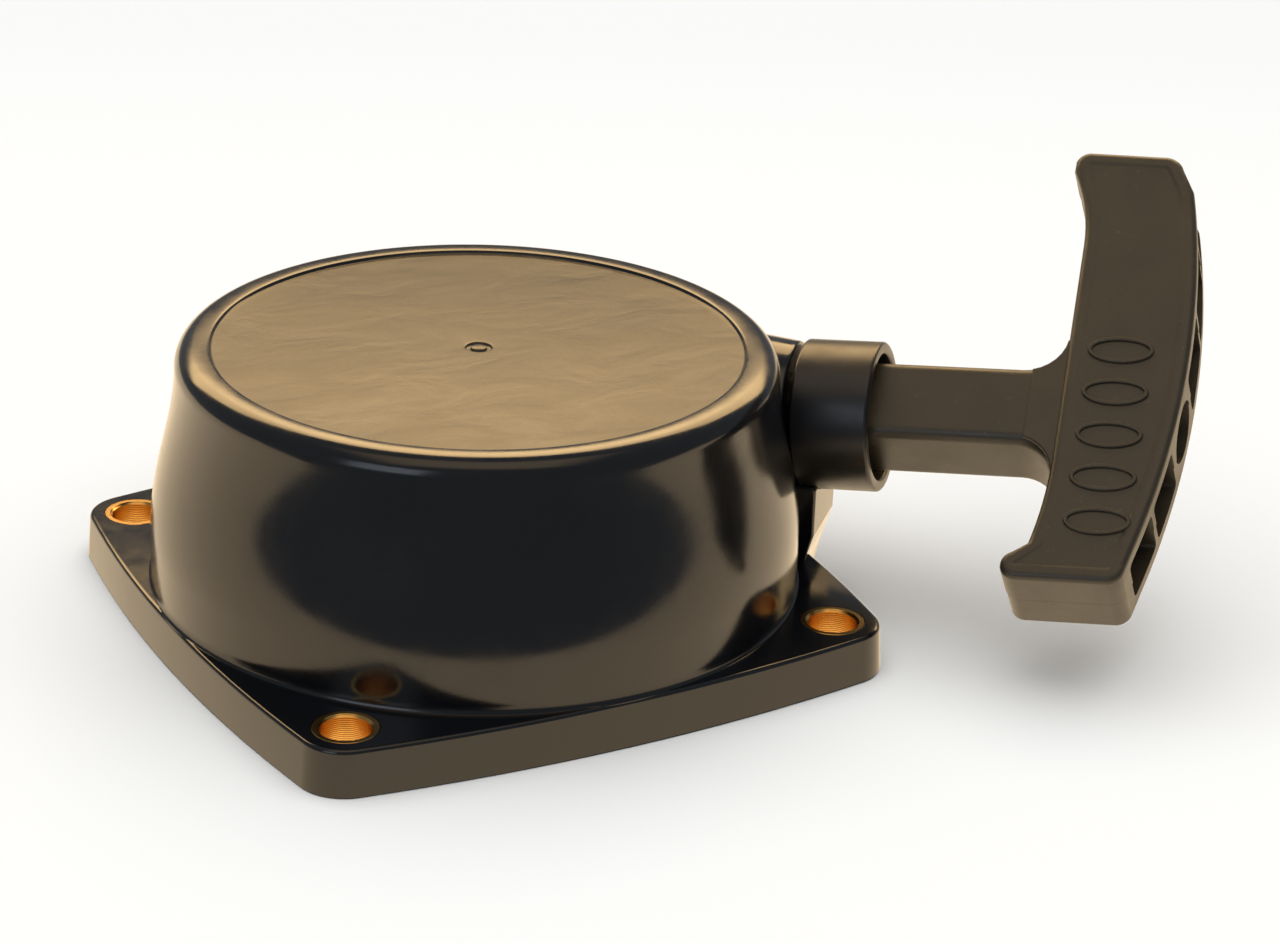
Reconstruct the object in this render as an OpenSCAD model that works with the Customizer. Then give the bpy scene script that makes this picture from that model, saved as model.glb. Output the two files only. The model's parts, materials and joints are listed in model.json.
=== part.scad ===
// Recoil (pull) starter for a small two-stroke engine: a deep moulded drum on a square flange,
// a rope reel on a centre post, a spiral return spring and a T handle on a rope.
// Origin: centre of the flange's underside. +Z points to the closed top of the drum.

/* [Mounting flange] */
// Distance between neighbouring bolt holes
hole_spacing = 76; // [72:0.5:78]
// Flange width across the middle of two opposite sides
flange_across = 96; // [94:0.5:98]
// Thickness of the flange
flange_t = 7; // [5:0.5:8]
// Radius of the flange's corners
corner_r = 7; // [6:0.5:8]
// Radius of the gently bowed sides
side_bow_r = 265; // [240:5:400]
// Outer diameter of a brass bush
bush_od = 9.3; // [8.8:0.1:10]
// Bore of a brass bush, a loose fit on a 6 mm bolt
bush_id = 7; // [6.4:0.1:7.4]

/* [Drum] */
// Overall height from the flange's underside to the rim
drum_h = 42; // [41:0.5:44]
// Radius of the drum where it meets the flange
base_r = 47; // [46:0.25:47.5]
// Radius of the drum at the rim
rim_r = 43.1; // [42:0.1:44]
// Radius of the sunken round panel in the top
panel_r = 38; // [36:0.5:39]
// Depth of the sunken panel
panel_sink = 0.6; // [0.3:0.1:1]
// Wall thickness of the moulding
wall = 2.4; // [2:0.1:2.6]

/* [Reel and rope] */
// Rope diameter
rope_d = 2.8; // [2.4:0.1:3]
// Distance from the reel's axis to the rope where it leaves the reel
rope_line = 25; // [24:0.5:26]
// Height of the middle of the reel's groove
groove_z = 23.5; // [23:0.25:24]
// Width of the reel's groove
groove_w = 8; // [7:0.25:8]
// Outer radius of the reel
reel_r = 33; // [31:0.5:33]
// Angle of the rope line above the flange's plane
rope_rise = 5.5; // [4:0.5:6]
// Radius of the wound turns under the outermost one
coil_r = 23.3; // [22:0.1:23.3]

/* [Pawls] */
// Distance of each pawl's pivot from the reel's axis
pivot_r = 13; // [12.8:0.1:13.2]
// Swing of a pawl from folded in to driving
pawl_swing = 24; // [20:1:24]
// Lag of the friction plate that drives that swing
plate_lag = 30; // [28:1:30]

/* [Handle] */
// Turn of the grip about the rope line, from standing in the rope line's vertical plane
grip_turn = 52; // [40:1:60]
// Thickness of the grip
grip_t = 14; // [13:0.5:15]
// Width of the stem
stem_w = 12.4; // [11:0.2:13]
// Thickness of the stem
stem_t = 12; // [11:0.2:13]
// Radius of the grip's palm side
palm_r = 136; // [120:2:160]

/* [Hidden] */
$fn = 96;
hole = hole_spacing / 2;
half = flange_across / 2;
flange_side_n = 10;

// Drum
roof_t = 2.5;
panel_z = drum_h - panel_sink;
roof_z = panel_z - roof_t;
rim_round = 3;
bell_z0 = 14;
bell_z1 = 39.5;
wall_steps = 10;

// Centre post, its insert and what is screwed to it
post_r = 5.95;
post_z = 12.5;
insert_r = 4.4;
insert_top = 26.5;
screw_r = 2.95;
screw_hole_r = 3;
screw_head_z = 5.4;
screw_head_t = 3.6;
screw_tip_z = 26;
shoulder_z = screw_head_z + screw_head_t;
shoulder_flange_t = 1.5;
shoulder_r = 4.95;
shoulder_flange_r = 8;

// Return spring and its case
case_r = 31.1;
case_t = 0.5;
case_z = 31;
spring_z = 31.8;
spring_h = 6.4;
spring_t = 0.5;
spring_turns = 11;
spring_in_r = 10;
spring_out_r = 30;

// Reel
reel_z0 = 17.5;
reel_z1 = 29.9;
bush_r = 7;
reel_bush_r = 6;
hub_r = 9.5;
hub_top_r = 9;
hub_top_z = 38.2;
floor_r = 18.6;
floor_t = 2;
web_t = groove_z - groove_w / 2 - reel_z0;

// Pawls and friction plate
pin_r = 1.5;
pawl_hole_r = 1.56;
pawl_z0 = 12.6;
pawl_z1 = 16.9;
nub_r = 1.3;
nub_x = -1.3;
nub_y = -9;
slot_play = 0.35;
plate_z = 10.6;
plate_t = 1.4;
plate_r = 21;

// Rope guide and outlet neck, along the rope line
neck_r = 11.4;
neck_x = 41.8;
guide_r = 11;
guide_x0 = 42.8;
guide_x1 = 54.4;
guide_mouth_r = 9.3;
guide_floor_x = 49.7;
guide_bore_r = 2.2;
spigot_r = 5.95;
spigot_x = 36;
reel_room_r = reel_r + 2.2;

// Handle, along the rope line
stem_x = 50;
stem_round = 1.6;
stem_flare = 6;
pocket_w = 8.4;
pocket_floor_x = 85.7;
grip_in_x = 81.2;
grip_palm_x = 98.9;
grip_top = 43.6;
grip_bottom = -28.8;
palm_mid = 11;
washer_x = 86.9;
washer_t = 1;
knot_well_r = 4.6;
rope_hole_r = 1.9;
edge_round = 1;

// ---------------------------------------------------------------- helpers

// Points of an arc about [x, y] from angle a0 to a1
function arc(x, y, r, a0, a1, n) =
    [for (i = [0:n]) let (a = a0 + (a1 - a0) * i / n) [x + r * cos(a), y + r * sin(a)]];

function turned(p, a) = [p[0] * cos(a) - p[1] * sin(a), p[0] * sin(a) + p[1] * cos(a)];

// A tube of facets through rings of points that all have the same number of sides
module tube_through(rings) {
    n = len(rings);
    s = len(rings[0]);
    polyhedron(
        points = [for (ring = rings) each ring],
        faces = concat(
            [[for (j = [0:s - 1]) j]],
            [[for (j = [s - 1:-1:0]) (n - 1) * s + j]],
            [for (i = [0:n - 2], j = [0:s - 1])
                [i * s + j, (i + 1) * s + j, (i + 1) * s + (j + 1) % s, i * s + (j + 1) % s]]));
}

module ring(r_out, r_in, h) {
    difference() {
        cylinder(r = r_out, h = h);
        translate([0, 0, -1]) cylinder(r = r_in, h = h + 2);
    }
}

// Local X runs along the rope line from its tangent point on the reel, local Y is level
module on_rope_line() {
    rotate([0, 0, -45]) translate([0, rope_line, groove_z]) rotate([0, -rope_rise, 0]) children();
}

// A bar along local X
module rod_x(r, x0, x1) {
    translate([x0, 0, 0]) rotate([0, 90, 0]) cylinder(r = r, h = x1 - x0);
}

// ---------------------------------------------------------------- housing

// Centre of a corner arc, tangent to both bowed sides
corner_c = let (b = side_bow_r - half, d = side_bow_r - corner_r)
    (-b + sqrt(2 * d * d - b * b)) / 2;
corner_turn = atan2(corner_c, corner_c + side_bow_r - half);

// One side of the flange and the corner that follows it, facing +X
function flange_side() = concat(
    arc(half - side_bow_r, 0, side_bow_r, -corner_turn, corner_turn, flange_side_n),
    arc(corner_c, corner_c, corner_r, corner_turn, 90 - corner_turn, flange_side_n));

module flange_outline() {
    polygon([for (q = [0:3], p = flange_side()) turned(p, 90 * q)]);
}

// Radius of the drum's outside at height z: upright at the foot, then a bell curve in to the rim
function drum_r(z) =
    let (t = max(0, min(1, (z - bell_z0) / (bell_z1 - bell_z0))))
    rim_r + (base_r - rim_r) * (1 + cos(180 * t)) / 2;

// Half section of the drum, drawn in by an inset
module drum_section(inset, foot_z) {
    round_r = rim_round - inset / 2;
    polygon(concat(
        [[0, foot_z], [base_r - inset, foot_z]],
        [for (i = [0:wall_steps]) let (z = bell_z0 + (drum_h - rim_round - bell_z0) * i / wall_steps)
            [drum_r(z) - inset, z - inset * i / wall_steps]],
        arc(rim_r - inset - round_r, drum_h - inset - round_r, round_r, 10, 90, 7),
        [[0, drum_h - inset]]));
}

module bush_holes(r) {
    for (x = [-hole, hole], y = [-hole, hole])
        translate([x, y, -1]) cylinder(r = r, h = flange_t + 2);
}

// Gusset that carries the outlet neck down to the flange's edge
module neck_gusset() {
    rotate([0, 0, -45]) translate([0, 31, 0]) rotate([90, 0, 0])
        linear_extrude(13) polygon([[35.5, 0], [43.6, 0], [44.6, 5], [46.3, 11], [46.3, 20.5], [35.5, 20.5]]);
}

module outlet_neck() {
    on_rope_line() rod_x(neck_r, 20, neck_x);
}

// Hollow of the drum round the post, the spring's ring wall and the root of the neck
module drum_cavity() {
    difference() {
        rotate_extrude() intersection() {
            drum_section(wall, -1);
            translate([0, -1]) square([base_r, roof_z + 1]);
        }
        difference() {
            outlet_neck();
            translate([0, 0, -1]) cylinder(r = reel_room_r, h = drum_h + 2);
        }
        translate([0, 0, post_z]) cylinder(r = post_r, h = drum_h);
        translate([0, 0, case_z - 0.1]) ring(case_r + 2.2, case_r + 0.15, drum_h);
    }
}

module housing() {
    color("#2a2622") difference() {
        union() {
            linear_extrude(flange_t) flange_outline();
            rotate_extrude() drum_section(0, 0);
            outlet_neck();
            neck_gusset();
        }
        // sunken top panel with its small moulded gate mark
        translate([0, 0, panel_z]) cylinder(r = panel_r, h = 2);
        translate([0, 0, panel_z - 0.4]) ring(1.9, 1.1, 1);
        drum_cavity();
        bush_holes(bush_od / 2);
        translate([0, 0, post_z - 1]) cylinder(r = insert_r, h = insert_top - post_z + 1);
        on_rope_line() {
            rod_x(spigot_r + 0.05, spigot_x - 0.5, neck_x + 1);
            rod_x(guide_bore_r + 1, 20, spigot_x);
            rod_x(guide_r + 0.1, guide_x0 - 0.2, guide_x1 + 5);
        }
    }
}

module flange_bush(q) {
    color("#d0a050") rotate([0, 0, 90 * q]) translate([hole, hole, 0])
        ring(bush_od / 2, bush_id / 2, flange_t);
}

module rope_guide() {
    color("#1d1b19") on_rope_line() difference() {
        union() {
            rod_x(guide_r, guide_x0, guide_x1);
            rod_x(spigot_r, spigot_x, guide_x0 + 1);
        }
        rod_x(guide_bore_r, spigot_x - 1, guide_x1);
        rod_x(guide_mouth_r, guide_floor_x, guide_x1 + 1);
    }
}

module post_insert() {
    color("#c89848") translate([0, 0, post_z]) ring(insert_r, screw_hole_r, insert_top - post_z);
}

// ---------------------------------------------------------------- spring

module spring_case() {
    color("#8e9296") translate([0, 0, case_z]) {
        ring(case_r, case_r - case_t, roof_z - case_z - 0.1);
        ring(case_r, hub_top_r + 1.2, case_t);
    }
}

function spiral_point(t, side) =
    let (r = spring_in_r + (spring_out_r - spring_in_r) * t + side * spring_t / 2,
         a = 360 * spring_turns * t)
    [r * cos(a), r * sin(a)];

module recoil_spring() {
    steps = 18 * spring_turns;
    color("#5b5f66") translate([0, 0, spring_z]) linear_extrude(spring_h) polygon(concat(
        [for (i = [0:steps]) spiral_point(i / steps, 1)],
        [for (i = [steps:-1:0]) spiral_point(i / steps, -1)]));
}

// ---------------------------------------------------------------- centre fixing

module shoulder_washer() {
    color("#9a9da1") translate([0, 0, shoulder_z]) difference() {
        union() {
            cylinder(r = shoulder_flange_r, h = shoulder_flange_t);
            cylinder(r = shoulder_r, h = post_z - shoulder_z);
        }
        translate([0, 0, -1]) cylinder(r = screw_hole_r + 0.1, h = 6);
    }
}

module centre_screw() {
    color("#84888c") union() {
        translate([0, 0, screw_head_z]) cylinder(r = 5.2, h = screw_head_t - 0.8, $fn = 6);
        translate([0, 0, shoulder_z - 0.8]) cylinder(r = 6.2, h = 0.8);
        translate([0, 0, screw_head_z + 1]) cylinder(r = screw_r, h = screw_tip_z - screw_head_z - 1);
    }
}

// ---------------------------------------------------------------- reel

module reel() {
    groove_z0 = groove_z - groove_w / 2;
    groove_z1 = groove_z + groove_w / 2;
    color("#3a3b3e") difference() {
        union() {
            rotate_extrude() polygon([
                [bush_r, reel_z0], [reel_r, reel_z0], [reel_r, groove_z0], [floor_r, groove_z0],
                [floor_r, groove_z1], [reel_r, groove_z1], [reel_r, reel_z1], [floor_r - floor_t, reel_z1],
                [floor_r - floor_t, reel_z0 + web_t], [hub_r, reel_z0 + web_t], [hub_r, reel_z1],
                [hub_top_r, reel_z1], [hub_top_r, hub_top_z], [bush_r, hub_top_z]]);
            for (a = [0:60:300]) rotate([0, 0, a])
                translate([hub_r - 0.5, -0.9, reel_z0 + 1]) cube([floor_r - floor_t - hub_r + 1, 1.8, 11]);
            for (a = [0, 180]) rotate([0, 0, a])
                translate([pivot_r, 0, reel_z0 + 0.5]) cylinder(r = 3, h = 8);
        }
        for (a = [0, 180]) rotate([0, 0, a])
            translate([pivot_r, 0, reel_z0 - 1]) cylinder(r = pin_r, h = 8);
        // where the rope goes through the groove's floor to its knot
        rotate([0, 0, 90]) translate([floor_r - floor_t - 1, 0, groove_z])
            rotate([0, 90, 0]) cylinder(r = rope_d / 2 + 0.2, h = floor_t + 2);
        // notch that catches the spring's inner end
        translate([hub_top_r - 1, -1, spring_z - 0.3]) cube([3, 2, 10]);
    }
}

module reel_bush() {
    color("#b08a4c") translate([0, 0, reel_z0]) ring(bush_r, reel_bush_r, hub_top_z - reel_z0);
}

// ---------------------------------------------------------------- rope

module rope_coil() {
    color("#d9d4c6") {
        translate([0, 0, groove_z - groove_w / 2 + 0.3]) ring(coil_r, floor_r + 0.1, groove_w - 0.6);
        rotate([0, 0, 45]) rotate_extrude(angle = 300) translate([rope_line, groove_z])
            circle(d = rope_d);
    }
}

module rope_run() {
    color("#d9d4c6") on_rope_line() rod_x(rope_d / 2, 0.4, washer_x + washer_t + 0.2);
}

// A tight round stopper knot with its short tail
module stopper_knot(r) {
    rotate_extrude() polygon(concat([[0, -r]], arc(0, 0, r, -80, 52, 12), [[rope_d / 2, r + 0.8], [0, r + 0.8]]));
}

module rope_knot_reel() {
    color("#d9d4c6") rotate([0, 0, 90]) translate([13.1, 0, groove_z]) stopper_knot(2.7);
}

module rope_knot_handle() {
    color("#d9d4c6") on_rope_line() translate([washer_x + washer_t + 3.5, 0, 0])
        rotate([0, 90, 0]) stopper_knot(3.2);
}

// ---------------------------------------------------------------- pawls

module pawl_pin() {
    color("#b4b8bc") union() {
        translate([pivot_r, 0, pawl_z0 - 0.1]) cylinder(r = pin_r, h = reel_z0 + 6 - pawl_z0);
        translate([pivot_r, 0, pawl_z0 - 0.5]) cylinder(r = pin_r + 0.6, h = 0.4);
    }
}

// A flat hooked pawl at its folded place: an eye, an arm and a driving tip
module pawl() {
    tip = [-2.7, -19.4];
    color("#9b9fa4") translate([pivot_r, 0, 0]) difference() {
        union() {
            translate([0, 0, pawl_z0]) linear_extrude(pawl_z1 - pawl_z0) union() {
                circle(r = 3.1);
                polygon([[-2.9, -0.9], [-3.3, -9], [-4.6, -16.5], [tip[0] - 1.6, tip[1]], [tip[0] + 1.4, tip[1] - 0.4],
                    [0.9, -16], [1.9, -9], [3, -0.8]]);
            }
            translate([nub_x, nub_y, plate_z + 0.3]) cylinder(r = nub_r, h = pawl_z1 - plate_z - 1);
        }
        translate([0, 0, pawl_z0 - 1]) cylinder(r = pawl_hole_r, h = 8);
    }
}

// Where the nub stands, seen from the friction plate, at part t of the swing
function nub_path(t) =
    turned([pivot_r, 0] + turned([nub_x, nub_y], pawl_swing * t), -plate_lag * t);

// The slot that follows that path, as wide as the nub and its play
module nub_slot() {
    w = nub_r + slot_play;
    n = 8;
    path = [for (i = [0:n]) nub_path(i / n)];
    side = [for (i = [0:n]) let (d = path[min(i + 1, n)] - path[max(i - 1, 0)]) turned(d, 90) * w / norm(d)];
    linear_extrude(plate_t + 2) union() {
        polygon(concat([for (i = [0:n]) path[i] + side[i]], [for (i = [n:-1:0]) path[i] - side[i]]));
        translate(path[0]) circle(r = w);
        translate(path[n]) circle(r = w);
    }
}

module friction_plate() {
    color("#a8a59c") translate([0, 0, plate_z]) difference() {
        cylinder(r = plate_r, h = plate_t);
        translate([0, 0, -1]) {
            cylinder(r = shoulder_r + 0.05, h = plate_t + 2);
            for (a = [0, 180]) rotate([0, 0, a]) nub_slot();
            for (a = [60, 240]) rotate([0, 0, a]) translate([13.5, 0, 0]) cylinder(r = 3.4, h = plate_t + 2);
        }
    }
}

module friction_spring() {
    wire_r = 0.5;
    coil = 8.1;
    turns = 3.5;
    steps = 14 * turns;
    z0 = plate_z + plate_t + wire_r + 0.2;
    z1 = reel_z0 - wire_r - 0.2;
    color("#6c7076") tube_through([for (i = [0:steps])
        let (a = 360 * turns * i / steps, z = z0 + (z1 - z0) * i / steps)
        [for (j = [0:7]) let (b = -45 * j, r = coil + wire_r * cos(b))
            [r * cos(a), r * sin(a), z + wire_r * sin(b)]]]);
}

// ---------------------------------------------------------------- handle

// Outline of the grip: X along the rope line, Y along the bar, drawn in by a margin
function grip_outline(m) = concat(
    arc(grip_in_x - 60, -9, 60 + m, -13.4, 0, 4),
    arc(grip_in_x - 30, 27, 30 + m, 0, 25.5, 5),
    arc(grip_in_x - 0.6, grip_top - 2.6, 2.4 - m, 165, 95, 5),
    arc(91.6, grip_top - 3.6, 3 - m, 85, 15, 5),
    arc(grip_palm_x - palm_r, palm_mid, palm_r - m, 11, -14.6, 16),
    arc(91.2, grip_bottom + 2.8, 2.6 - m, -20, -90, 5),
    arc(78.4, grip_bottom + 2.4, 2.3 - m, -90, -250, 8));

module grip_slab(m, z0, z1) {
    translate([0, 0, z0]) linear_extrude(z1 - z0) polygon(grip_outline(m));
}

// Oblong cross-section of the stem, with rounded corners
module stem_section() {
    square([stem_t - 2 * stem_round, stem_w], center = true);
    square([stem_t, stem_w - 2 * stem_round], center = true);
    for (x = [-1, 1], y = [-1, 1])
        translate([x * (stem_t / 2 - stem_round), y * (stem_w / 2 - stem_round)]) circle(r = stem_round);
}

// Cored pockets in the palm side, with thin ribs left between them
module palm_pockets() {
    for (y = [[-24.5, -16.5], [-14.9, -6.4], [6.4, 16.4], [18, 28], [29.6, 38.6]])
        translate([pocket_floor_x, y[0], -pocket_w / 2]) cube([30, y[1] - y[0], pocket_w]);
}

module pull_handle() {
    color("#38312a") on_rope_line() rotate([90 - grip_turn, 0, 0]) difference() {
        union() {
            grip_slab(0, edge_round - grip_t / 2, grip_t / 2 - edge_round);
            grip_slab(edge_round * 0.8, -grip_t / 2, grip_t / 2);
            translate([stem_x, 0, 0]) rotate([0, 90, 0])
                linear_extrude(grip_in_x + 3 - stem_x) stem_section();
            // flared root of the stem, a little thicker than the stem
            translate([0, 0, -stem_t / 2 - 0.3]) linear_extrude(stem_t + 0.6) polygon(concat(
                arc(grip_in_x - stem_flare, stem_w / 2 + stem_flare, stem_flare, -90, 0, 6),
                [[grip_in_x + 2, stem_w / 2 + stem_flare], [grip_in_x + 2, -stem_w / 2 - stem_flare]],
                arc(grip_in_x - stem_flare, -stem_w / 2 - stem_flare, stem_flare, 0, 90, 6)));
        }
        rod_x(rope_hole_r, stem_x - 1, washer_x + 1);
        rod_x(knot_well_r, washer_x, 110);
        palm_pockets();
    }
}

module knot_washer() {
    color("#a9adb1") on_rope_line() translate([washer_x + 0.05, 0, 0]) rotate([0, 90, 0])
        ring(4.3, rope_hole_r, washer_t);
}

// ---------------------------------------------------------------- nodes

housing();
flange_bush(0);  // flange_bush_1
flange_bush(1);  // flange_bush_2
flange_bush(2);  // flange_bush_3
flange_bush(3);  // flange_bush_4
rope_guide();
post_insert();
spring_case();
recoil_spring();
shoulder_washer();
centre_screw();
reel();
reel_bush();
rope_coil();
rope_knot_reel();
pawl_pin();  // pawl_pin_a
rotate([0, 0, 180]) pawl_pin();  // pawl_pin_b
friction_spring();
friction_plate();
pawl();  // pawl_a
rotate([0, 0, 180]) pawl();  // pawl_b
pull_handle();
rope_run();
rope_knot_handle();
knot_washer();
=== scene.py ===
import json
import math

import bmesh
import bpy
from mathutils import Matrix, Vector


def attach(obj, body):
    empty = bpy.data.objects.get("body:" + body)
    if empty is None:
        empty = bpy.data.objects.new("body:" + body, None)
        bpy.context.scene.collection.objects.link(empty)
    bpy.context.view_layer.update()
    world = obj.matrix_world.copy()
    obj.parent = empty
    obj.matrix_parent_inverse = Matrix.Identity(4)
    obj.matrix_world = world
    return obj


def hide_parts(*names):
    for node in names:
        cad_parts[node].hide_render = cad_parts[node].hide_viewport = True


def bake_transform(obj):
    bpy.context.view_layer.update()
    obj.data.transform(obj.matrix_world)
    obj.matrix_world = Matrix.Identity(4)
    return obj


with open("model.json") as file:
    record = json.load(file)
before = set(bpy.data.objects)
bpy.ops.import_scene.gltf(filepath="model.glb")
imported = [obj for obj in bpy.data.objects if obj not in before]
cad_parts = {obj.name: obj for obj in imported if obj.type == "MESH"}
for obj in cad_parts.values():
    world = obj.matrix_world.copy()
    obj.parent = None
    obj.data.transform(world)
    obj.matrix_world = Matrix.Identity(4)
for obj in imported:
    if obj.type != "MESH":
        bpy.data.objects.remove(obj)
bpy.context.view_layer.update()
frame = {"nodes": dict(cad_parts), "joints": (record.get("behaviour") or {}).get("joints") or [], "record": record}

MM = 0.001
QUARTER = math.pi / 2

# ------------------------------------------------------------------ sizes, in millimetres

# Flange: four bowed sides and round corners
FLANGE_T = 7.0
FLANGE_HALF = 48.0
FLANGE_BOW_R = 265.0
CORNER_R = 7.0
BOLT_HALF = frame["record"]["mounts"][0]["dims"]["spacing_x_mm"] / 2
BUSH_BORE_R = frame["record"]["mounts"][0]["dims"]["hole_r_mm"]
BUSH_R = 4.65

# Drum: upright at the foot, then a bell curve in to the rim
DRUM_H = 42.0
BASE_R = 47.0
RIM_R = 43.1
RIM_ROUND = 3.0
BELL_Z = (14.0, 39.5)
WALL = 2.4
PANEL_R = 38.0
PANEL_Z = 41.4
ROOF_Z = 38.9

# Centre post, and the ring wall that locates the spring's case
POST_R = 5.95
POST_Z = 12.5
INSERT_R = 4.4
INSERT_TOP = 26.5
RING_WALL_R = (31.25, 33.3)
RING_WALL_Z = 30.9

# Rope line: a level offset from the reel's axis, at the height of the reel's groove
ROPE_LINE = 25.0
GROOVE_Z = 23.5
ROPE_R = 1.4
REEL_ROOM_R = 35.2
NECK_R = 10.7
NECK_ROOT = (26.0, 12.9)
NECK_X = 41.8
GUIDE_R = 11.0
GUIDE_X = (42.8, 54.4)
GUIDE_FLOOR_X = 49.7
GUIDE_MOUTH_R = 9.3
GUIDE_BORE_R = 2.2
SPIGOT_R = 5.95
SPIGOT_X = 36.0

# Handle
GRIP_TURN = 52.0
GRIP_HALF_T = 7.0
GRIP_IN_X = 81.2
GRIP_PALM_X = 98.9
GRIP_TOP = 43.6
GRIP_BOTTOM = -28.8
PALM_R = 136.0
PALM_MID = 11.0
OVAL_X = 89
OVAL_HALF = (4.8, 2.2)
OVAL_FIRST = -19
OVAL_STEP = 7
STEM_X = 50.0
STEM_HALF_W = 6.2
STEM_HALF_T = 6.0
STEM_ROUND = 1.6
STEM_FLARE = 6.0
POCKET_HALF_W = 4.2
POCKET_FLOOR_X = 85.7
WASHER_X = 86.95
WASHER_T = 1.0
KNOT_X = 91.45
KNOT_WELL_R = 4.6
ROPE_HOLE_R = 1.9

# Reel
REEL_Z = (17.5, 29.9)
REEL_R = 33.0
GROOVE_Z_EDGES = (19.5, 27.5)
GROOVE_FLOOR = (16.6, 18.6)
REEL_BUSH_R = 7.0
HUB_R = 9.5
HUB_TOP = (9.0, 38.2)
KNOT_REEL_R = 13.1

# Pawls and the friction plate
PIVOT_R = 13.0
PIN_R = 1.5
PAWL_Z = (12.6, 16.9)
PAWL_SWING = 24.0
PAWL_EYE_R = 3.1
PAWL_HOLE_R = 1.56
NUB = (-1.3, -9.0)
NUB_R = 1.3
PLATE_Z = 10.6
PLATE_T = 1.4
PLATE_R = 21.0
PLATE_LAG = 30.0
SLOT_PLAY = 0.35

# Centre screw and its shouldered washer
SCREW_R = 2.95
SCREW_HEX_R = 5.2
SCREW_FLANGE_R = 6.2
SCREW_Z = (5.4, 8.2, 9.0, 26.0)
SHOULDER_Z = (9.0, 10.5, 12.5)
SHOULDER_R = 4.95
SHOULDER_FLANGE_R = 8.0
SHOULDER_BORE_R = 3.1

# Friction spring
COIL_R = 8.1
WIRE_R = 0.5
COIL_Z = (12.7, 16.8)

PULL = Vector(next(joint["axis"] for joint in frame["joints"] if joint["name"] == "handle_pull"))
LEVEL = Vector((-PULL.y, PULL.x, 0)).normalized()
ROPE_FRAME = Matrix((PULL, LEVEL, PULL.cross(LEVEL))).transposed().to_4x4()
ROPE_FRAME.translation = LEVEL * ROPE_LINE * MM + Vector((0, 0, GROOVE_Z * MM))
GRIP_FRAME = ROPE_FRAME @ Matrix.Rotation(math.radians(90 - GRIP_TURN), 4, "X")
ALONG_ROPE = ROPE_FRAME @ Matrix.Rotation(QUARTER, 4, "Y")


# ------------------------------------------------------------------ making meshes

def piece(name, verts, faces, place=None):
    """A new object from points in millimetres, with every face turned outwards."""
    mesh = bpy.data.meshes.new(name)
    mesh.from_pydata([Vector(v) * MM for v in verts], [], faces)
    if place is not None:
        mesh.transform(place)
    shape = bmesh.new()
    shape.from_mesh(mesh)
    bmesh.ops.remove_doubles(shape, verts=shape.verts, dist=1e-7)
    bmesh.ops.recalc_face_normals(shape, faces=shape.faces)
    shape.to_mesh(mesh)
    shape.free()
    made = bpy.data.objects.new(name, mesh)
    bpy.context.collection.objects.link(made)
    return made


def lathe(name, profile, place=None, steps=192):
    """Turns a closed outline of (radius, height) points about the Z axis."""
    verts = []
    rings = []
    for r, z in profile:
        count = steps if r > 1e-6 else 1
        rings.append([len(verts) + i % count for i in range(steps)])
        verts += [(r * math.cos(math.tau * i / steps), r * math.sin(math.tau * i / steps), z)
                  for i in range(count)]
    faces = []
    for a, b in zip(rings, rings[1:] + rings[:1]):
        for i in range(steps):
            j = (i + 1) % steps
            face = list(dict.fromkeys((a[i], a[j], b[j], b[i])))
            if len(face) > 2:
                faces.append(face)
    return piece(name, verts, faces, place)


def loft(name, loops, place=None):
    """Joins closed loops that have the same number of points, and caps both ends."""
    n = len(loops[0])
    faces = [list(range(n)), [(len(loops) - 1) * n + i for i in range(n)]]
    for k in range(len(loops) - 1):
        for i in range(n):
            j = (i + 1) % n
            faces.append([k * n + i, k * n + j, (k + 1) * n + j, (k + 1) * n + i])
    return piece(name, [p for loop in loops for p in loop], faces, place)


def arc(x, y, r, a0, a1, n):
    """Points on an arc, with its angles in degrees."""
    angles = [math.radians(a0 + (a1 - a0) * i / n) for i in range(n + 1)]
    return [(x + r * math.cos(a), y + r * math.sin(a)) for a in angles]


def rounded(corners, r, n=4):
    """A closed outline with its corners rounded; a corner's third value is a radius of its own."""
    out = []
    for k, corner in enumerate(corners):
        here = Vector(corner[:2])
        radius = corner[2] if len(corner) > 2 else r
        before = (Vector(corners[k - 1][:2]) - here).normalized()
        after = (Vector(corners[(k + 1) % len(corners)][:2]) - here).normalized()
        half = before.angle(after) / 2
        if radius < 1e-6 or half > math.radians(88):
            out.append(tuple(here))
            continue
        reach = radius / math.tan(half)
        centre = here + (before + after).normalized() * radius / math.sin(half)
        start = (here + before * reach - centre).normalized()
        end = (here + after * reach - centre).normalized()
        out += [tuple(centre + start.slerp(end, i / n) * radius) for i in range(n + 1)]
    return out


def inset(outline, d):
    """The outline moved inwards by d; it runs counter-clockwise."""
    out = []
    for k, here in enumerate(outline):
        here = Vector(here)
        before = (here - Vector(outline[k - 1])).normalized()
        after = (Vector(outline[(k + 1) % len(outline)]) - here).normalized()
        inward = Vector((-before.y - after.y, before.x + after.x)).normalized()
        cosine = max(0.3, inward.dot(Vector((-before.y, before.x))))
        out.append(tuple(here + inward * d / cosine))
    return out


def slab(name, outline, z0, z1, ease, place=None):
    """A flat plate cut to an outline, with a small round on its edges."""
    steps = [(ease * (1 - math.sin(QUARTER * k / 3)), ease * (1 - math.cos(QUARTER * k / 3)))
             for k in range(4)]
    levels = [(m, z0 + dz) for m, dz in steps] + [(m, z1 - dz) for m, dz in reversed(steps)]
    return loft(name, [[(x, y, z) for x, y in inset(outline, m)] for m, z in levels], place)


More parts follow.
